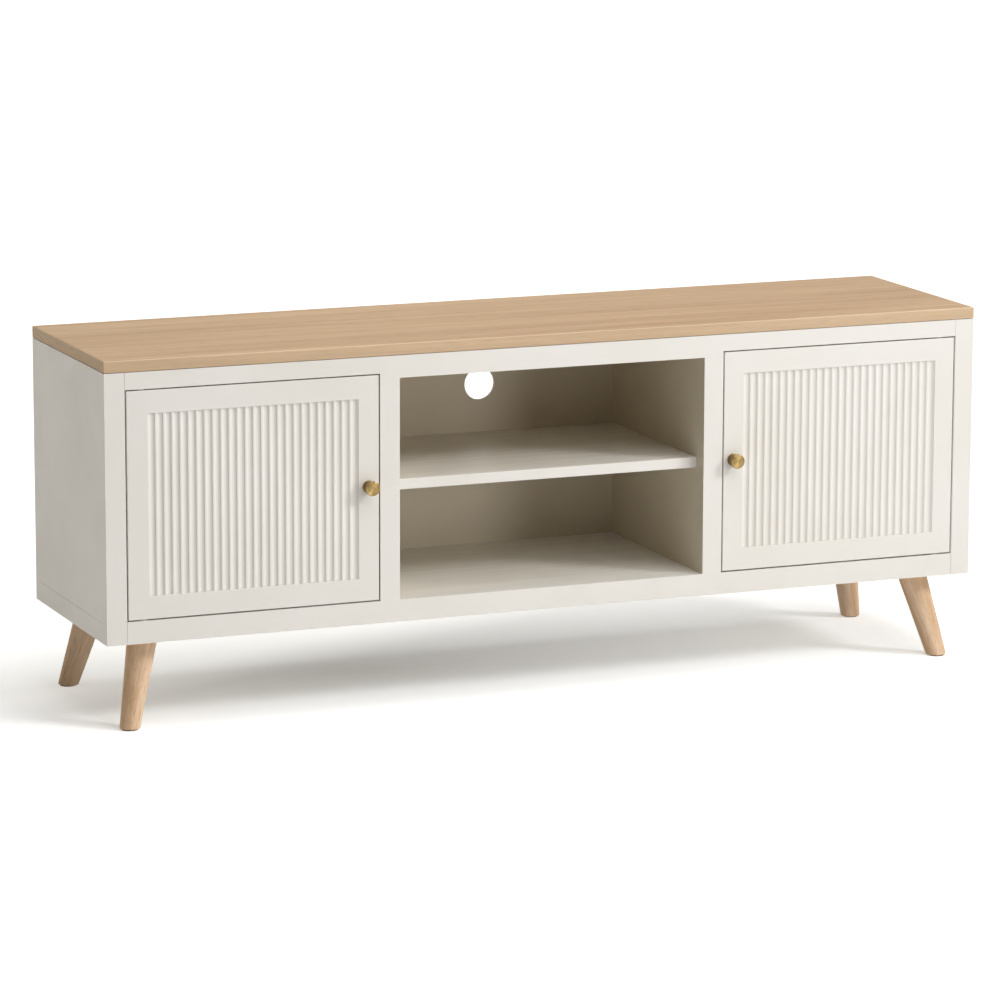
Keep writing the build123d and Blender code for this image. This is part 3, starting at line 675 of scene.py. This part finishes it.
class CABINET_OT_finish_legs(bpy.types.Operator):
    """Finish the legs in oak with the grain along each leg, and their glides and blocks"""

    bl_idname = "cabinet.finish_legs"
    bl_label = "Finish legs"

    def execute(self, context):
        finish = finish_settings(context)
        glides = moulded("glide_plastic", finish.glide, roughness=0.55)
        timber = bare_timber("bare_wood", finish.bare_wood, finish.bare_grain)
        for end in ENDS:
            for hand, _ in HANDS:
                leg = f"{end}_{hand}_leg"
                glide = f"{end}_{hand}_foot_glide"
                foot = centre_of(glide)
                axis = centre_of(leg) - foot
                oak = (finish.leg_oak, finish.leg_grain, finish.oak_roughness)
                dress(oak_turning(f"{leg}_oak", *oak, axis, foot), leg)
                dress(glides, glide)
                dress(timber, f"{end}_{hand}_leg_block")
        dress(timber, "frame_dowels")
        return {"FINISHED"}


class CABINET_OT_finish_knobs(bpy.types.Operator):
    """Finish the knobs in aged brass"""

    bl_idname = "cabinet.finish_knobs"
    bl_label = "Finish knobs"

    def execute(self, context):
        finish = finish_settings(context)
        for hand, _ in HANDS:
            knob = f"{hand}_knob"
            dress(turned_brass(f"{knob}_brass", finish.brass, finish.tarnish, centre_of(knob)), knob)
        return {"FINISHED"}


class CABINET_OT_finish_fittings(bpy.types.Operator):
    """Finish the pivots, catches, shelf pins and bolts"""

    bl_idname = "cabinet.finish_fittings"
    bl_label = "Finish fittings"

    def execute(self, context):
        finish = finish_settings(context)
        steel = zinc_plate(ZINC, finish.steel)
        nylon = moulded("white_nylon", finish.nylon, roughness=0.4)
        for hand, _ in HANDS:
            dress(steel, f"{hand}_knob_screw", f"{hand}_strike_plate")
            dress(nylon, f"{hand}_catch")
            for level in ("upper", "lower"):
                dress(steel, f"{hand}_{level}_pivot_pin")
                dress(nylon, f"{hand}_{level}_pivot_bush")
        dress(steel, "shelf_pins", "leg_bolts", "leg_inserts")
        return {"FINISHED"}


class CABINET_OT_screw_back(bpy.types.Operator):
    """Screw the back panel on, round its edge"""

    bl_idname = "cabinet.screw_back"
    bl_label = "Screw back panel"

    def execute(self, context):
        screws = screw_settings(context)
        low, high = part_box("back_panel")
        xs = spread(low.x + screws.back_inset, high.x - screws.back_inset, screws.back_across)
        zs = spread(low.z + screws.back_inset, high.z - screws.back_inset, screws.back_up + 2)
        places = [Vector((x, high.y, z)) for x in xs for z in (zs[0], zs[-1])]
        places += [Vector((x, high.y, z)) for x in (xs[0], xs[-1]) for z in zs[1:-1]]
        model = model_screw("back_screw_model", screws.back_head, screws.back_rise)
        place_screws(model, "back_screw", places, (0, 1, 0), CARCASS)
        bpy.data.objects.remove(model)
        return {"FINISHED"}


class CABINET_OT_screw_catches(bpy.types.Operator):
    """Screw the catches to the ceiling and the strike plates to the doors"""

    bl_idname = "cabinet.screw_catches"
    bl_label = "Screw catches"

    def execute(self, context):
        screws = screw_settings(context)
        ear_model = model_screw("ear_screw_model", screws.ear_head, screws.ear_rise)
        strike_model = model_screw("strike_screw_model", screws.strike_head, screws.strike_rise)
        for hand, _ in HANDS:
            low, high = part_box(f"{hand}_catch")
            middle = (low + high) / 2
            level = high.z - screws.ear_thickness
            places = [Vector((x, middle.y, level)) for x in pair_about(middle.x, screws.ear_spacing)]
            place_screws(ear_model, f"{hand}_catch_screw", places, (0, 0, -1), CARCASS)
            low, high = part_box(f"{hand}_strike_plate")
            middle = (low + high) / 2
            places = [Vector((x, high.y, middle.z)) for x in pair_about(middle.x, screws.strike_spacing)]
            place_screws(strike_model, f"{hand}_strike_screw", places, (0, 1, 0), f"{hand}_door")
        bpy.data.objects.remove(ear_model)
        bpy.data.objects.remove(strike_model)
        return {"FINISHED"}


class CABINET_OT_screw_blocks(bpy.types.Operator):
    """Screw the leg blocks up to the floor panel"""

    bl_idname = "cabinet.screw_blocks"
    bl_label = "Screw leg blocks"

    def execute(self, context):
        screws = screw_settings(context)
        inset = screws.block_inset
        model = model_screw("block_screw_model", screws.block_head, screws.block_rise)
        for end in ENDS:
            for hand, _ in HANDS:
                low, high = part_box(f"{end}_{hand}_leg_block")
                places = [
                    Vector((x, y, low.z))
                    for x in (low.x + inset, high.x - inset)
                    for y in (low.y + inset, high.y - inset)
                ]
                place_screws(model, f"{end}_{hand}_block_screw", places, (0, 0, -1), CARCASS)
        bpy.data.objects.remove(model)
        return {"FINISHED"}


class CABINET_OT_screw_ceiling(bpy.types.Operator):
    """Screw the ceiling up to the top board from inside the cupboards"""

    bl_idname = "cabinet.screw_ceiling"
    bl_label = "Screw ceiling"

    def execute(self, context):
        screws = screw_settings(context)
        low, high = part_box("ceiling_panel")
        inset = screws.ceiling_inset
        model = model_screw("ceiling_screw_model", screws.ceiling_head, screws.ceiling_rise)
        for hand, side in HANDS:
            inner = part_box(f"{hand}_divider_panel")[1 if side > 0 else 0].x
            outer = high.x if side > 0 else low.x
            places = [
                Vector((x, y, low.z))
                for x in (inner + side * inset, outer - side * inset)
                for y in (low.y + inset, high.y - inset)
            ]
            place_screws(model, f"{hand}_ceiling_screw", places, (0, 0, -1), CARCASS)
        bpy.data.objects.remove(model)
        return {"FINISHED"}


# Stage


def seen_straight(tree):
    """1 for a ray that the camera, a reflection or a clear body sends, 0 for light bouncing about."""
    path = put(tree, "ShaderNodeLightPath")
    seen = worked(tree, "MAXIMUM", path.outputs["Is Camera Ray"], path.outputs["Is Glossy Ray"])
    return worked(tree, "MAXIMUM", seen, path.outputs["Is Transmission Ray"])


def set_world(stage):
    """A dim, slightly warm light from all round, in front of a white background."""
    world = bpy.data.worlds.new("studio")
    bpy.context.scene.world = world
    world.use_nodes = True
    tree = world.node_tree
    background = tree.nodes["Background"]
    seen = seen_straight(tree)
    tree.links.new(blended(tree, seen, rgba(stage.fill_colour), (1, 1, 1, 1)), background.inputs["Color"])
    tree.links.new(banded(tree, seen, 0.0, 1.0, stage.fill, 1.0), background.inputs["Strength"])


FLOOR_SPAN = 60.0
FLOOR_ROUGHNESS = 0.9
FLOOR_SPECULAR = 0.1
# The floor's glow, painted light shaped round the cabinet's shadow: least in the middle of the shadow, more
# where the shadow ends, and full far away
SHADE_MIDDLE = (-0.22, 0.08)
SHADE_STRETCH = 2.8
SHADE_REACH = 0.4
SHADE_LIFT = 0.14
NEAR_LIFT = 0.5
FAR_FROM = 1.5
FAR_TO = 5.0
# Painted light: more glow towards the back left, so that the shadow ends sooner there
OPEN_WAY = (-1.0, 2.5, 0.0)
OPEN_FROM = 0.65
OPEN_TO = 1.0
OPEN_LIFT = 0.17


def floor_finish(stage):
    """A pale floor that takes the shadow, with a glow of painted light that shapes the shadow's edges and
    runs into plain white away from the cabinet.
    """
    material, tree, shader = new_finish("pale_floor")
    point = object_point(tree)
    middle_x, middle_y = SHADE_MIDDLE
    from_shade = put(
        tree,
        "ShaderNodeVectorMath",
        {
            0: point,
            1: (1 / SHADE_STRETCH, 1, 0),
            2: (-middle_x / SHADE_STRETCH, -middle_y, 0),
        },
        operation="MULTIPLY_ADD",
    ).outputs["Vector"]
    distance = put(tree, "ShaderNodeVectorMath", {0: from_shade}, operation="LENGTH").outputs["Value"]
    near = banded(tree, distance, 0.0, SHADE_REACH, SHADE_LIFT, NEAR_LIFT)
    far = banded(tree, distance, FAR_FROM, FAR_TO, 0.0, 1 - NEAR_LIFT)
    open_side = put(tree, "ShaderNodeVectorMath", {0: point, 1: OPEN_WAY}, operation="DOT_PRODUCT")
    back_left_glow = banded(tree, open_side.outputs["Value"], OPEN_FROM, OPEN_TO, 0.0, OPEN_LIFT)
    away = worked(tree, "ADD", worked(tree, "ADD", near, far), back_left_glow)
    glow = worked(tree, "MULTIPLY", away, seen_straight(tree))
    shader.inputs["Base Color"].default_value = rgba(stage.floor)
    shader.inputs["Roughness"].default_value = FLOOR_ROUGHNESS
    shader.inputs["Specular IOR Level"].default_value = FLOOR_SPECULAR
    shader.inputs["Emission Color"].default_value = rgba(stage.floor_glow)
    tree.links.new(glow, shader.inputs["Emission Strength"])
    return material


def add_area_light(name, place_and_size, power):
    """A round soft light that faces the cabinet."""
    place, size = place_and_size
    deselect_all()
    bpy.ops.object.light_add(type="AREA", location=place)
    lamp = bpy.context.object
    lamp.name = name
    lamp.rotation_euler = (Vector(AIM) - Vector(place)).to_track_quat("-Z", "Y").to_euler()
    lamp.data.shape = "DISK"
    lamp.data.size = size
    lamp.data.energy = power
    return lamp


# Lights: place and diameter, and the point that they face
KEY_LIGHT = ((5.75, -4.9, 4.7), 2.0)
FRONT_LIGHT = ((1.0, -3.0, 3.6), 2.4)
LOW_LIGHT = ((3.0, -5.2, 0.9), 1.6)
TOP_LIGHT = ((0.0, -0.5, 3.5), 3.0)
SIDE_LIGHT = ((-4.6, 1.2, 2.0), 3.4)
REAR_LIGHT = ((-2.2, 4.0, 1.5), 3.4)
AIM = (0, 0, 0.3)


class CABINET_OT_set_stage(bpy.types.Operator):
    """Lay the floor, set the lights and the camera"""

    bl_idname = "cabinet.set_stage"
    bl_label = "Set stage"

    def execute(self, context):
        stage = stage_settings(context)
        deselect_all()
        bpy.ops.mesh.primitive_plane_add(size=FLOOR_SPAN)
        floor = bpy.context.object
        floor.name = "floor"
        floor.data.materials.append(floor_finish(stage))
        set_world(stage)
        add_area_light("key_light", KEY_LIGHT, stage.key_watts)
        add_area_light("front_light", FRONT_LIGHT, stage.front_watts)
        add_area_light("low_light", LOW_LIGHT, stage.low_watts)
        add_area_light("top_light", TOP_LIGHT, stage.top_watts)
        for lamp in (
            add_area_light("side_light", SIDE_LIGHT, stage.side_watts),
            add_area_light("rear_light", REAR_LIGHT, stage.rear_watts),
        ):
            lamp.data.color = stage.fill_colour[:3]
        deselect_all()
        bpy.ops.object.camera_add()
        camera = bpy.context.object
        camera.data.lens = stage.camera_lens
        camera.data.clip_end = 2 * FLOOR_SPAN
        camera.matrix_world = (
            Matrix.Translation(stage.camera_place)
            @ Matrix.Rotation(-stage.camera_azimuth, 4, "Z")
            @ Matrix.Rotation(radians(90) - stage.camera_pitch, 4, "X")
            @ Matrix.Rotation(stage.camera_roll, 4, "Z")
        )
        context.scene.camera = camera
        context.scene.view_settings.view_transform = "Standard"
        return {"FINISHED"}


OPERATORS = (
    CABINET_OT_paint_boards,
    CABINET_OT_veneer_top,
    CABINET_OT_finish_legs,
    CABINET_OT_finish_knobs,
    CABINET_OT_finish_fittings,
    CABINET_OT_screw_back,
    CABINET_OT_screw_catches,
    CABINET_OT_screw_blocks,
    CABINET_OT_screw_ceiling,
    CABINET_OT_set_stage,
)


class CABINET_PT_finish(bpy.types.Panel):
    """The cabinet's finishing steps, in order"""

    bl_idname = "CABINET_PT_finish"
    bl_label = "Media cabinet"
    bl_space_type = "VIEW_3D"
    bl_region_type = "UI"
    bl_category = "Cabinet"

    def draw(self, context):
        for step in OPERATORS:
            self.layout.operator(step.bl_idname)


SETTINGS = (
    ("cabinet_finish", CabinetFinishSettings),
    ("cabinet_screws", CabinetScrewSettings),
    ("cabinet_stage", CabinetStageSettings),
)


def register():
    for name, group in SETTINGS:
        bpy.utils.register_class(group)
        setattr(bpy.types.Scene, name, PointerProperty(type=group))
    for step in OPERATORS:
        bpy.utils.register_class(step)
    bpy.utils.register_class(CABINET_PT_finish)


def unregister():
    bpy.utils.unregister_class(CABINET_PT_finish)
    for step in reversed(OPERATORS):
        bpy.utils.unregister_class(step)
    for name, group in reversed(SETTINGS):
        delattr(bpy.types.Scene, name)
        bpy.utils.unregister_class(group)


def main():
    register()
    bpy.ops.cabinet.paint_boards()
    bpy.ops.cabinet.veneer_top()
    bpy.ops.cabinet.finish_legs()
    bpy.ops.cabinet.finish_knobs()
    bpy.ops.cabinet.finish_fittings()
    bpy.ops.cabinet.screw_back()
    bpy.ops.cabinet.screw_catches()
    bpy.ops.cabinet.screw_blocks()
    bpy.ops.cabinet.screw_ceiling()
    bpy.ops.cabinet.set_stage()


if __name__ == "__main__":
    main()
